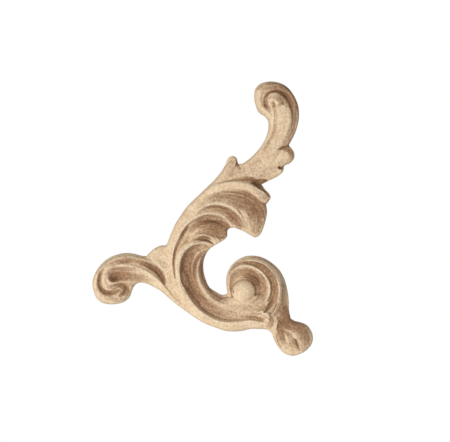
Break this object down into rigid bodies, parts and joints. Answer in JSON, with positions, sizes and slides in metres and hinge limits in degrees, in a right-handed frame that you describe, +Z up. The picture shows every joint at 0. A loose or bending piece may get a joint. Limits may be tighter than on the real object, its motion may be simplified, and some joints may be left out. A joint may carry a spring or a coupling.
{
  "type": "applique",
  "caption": "Asymmetric acanthus scroll applique in pressed wood pulp, with a hooked crook, leaf lobes, a C-scroll, ball-centred volute and a flat back for gluing on.",
  "frame": {"origin": "on the flat back, at the middle of its height and width", "axes": "+Z up with the crook at the top, -Y out of the carved front, +Y out of the flat back into the surface that it is glued to, +X to the right as seen from the front"},
  "size_m": [0.1022, 0.0093, 0.127],
  "materials": {
    "pulp": "bare pressed wood pulp, light tan and matt, browner in the recesses"
  },
  "bodies": {
    "root": {"applique": "pulp"}
  },
  "joints": []
}
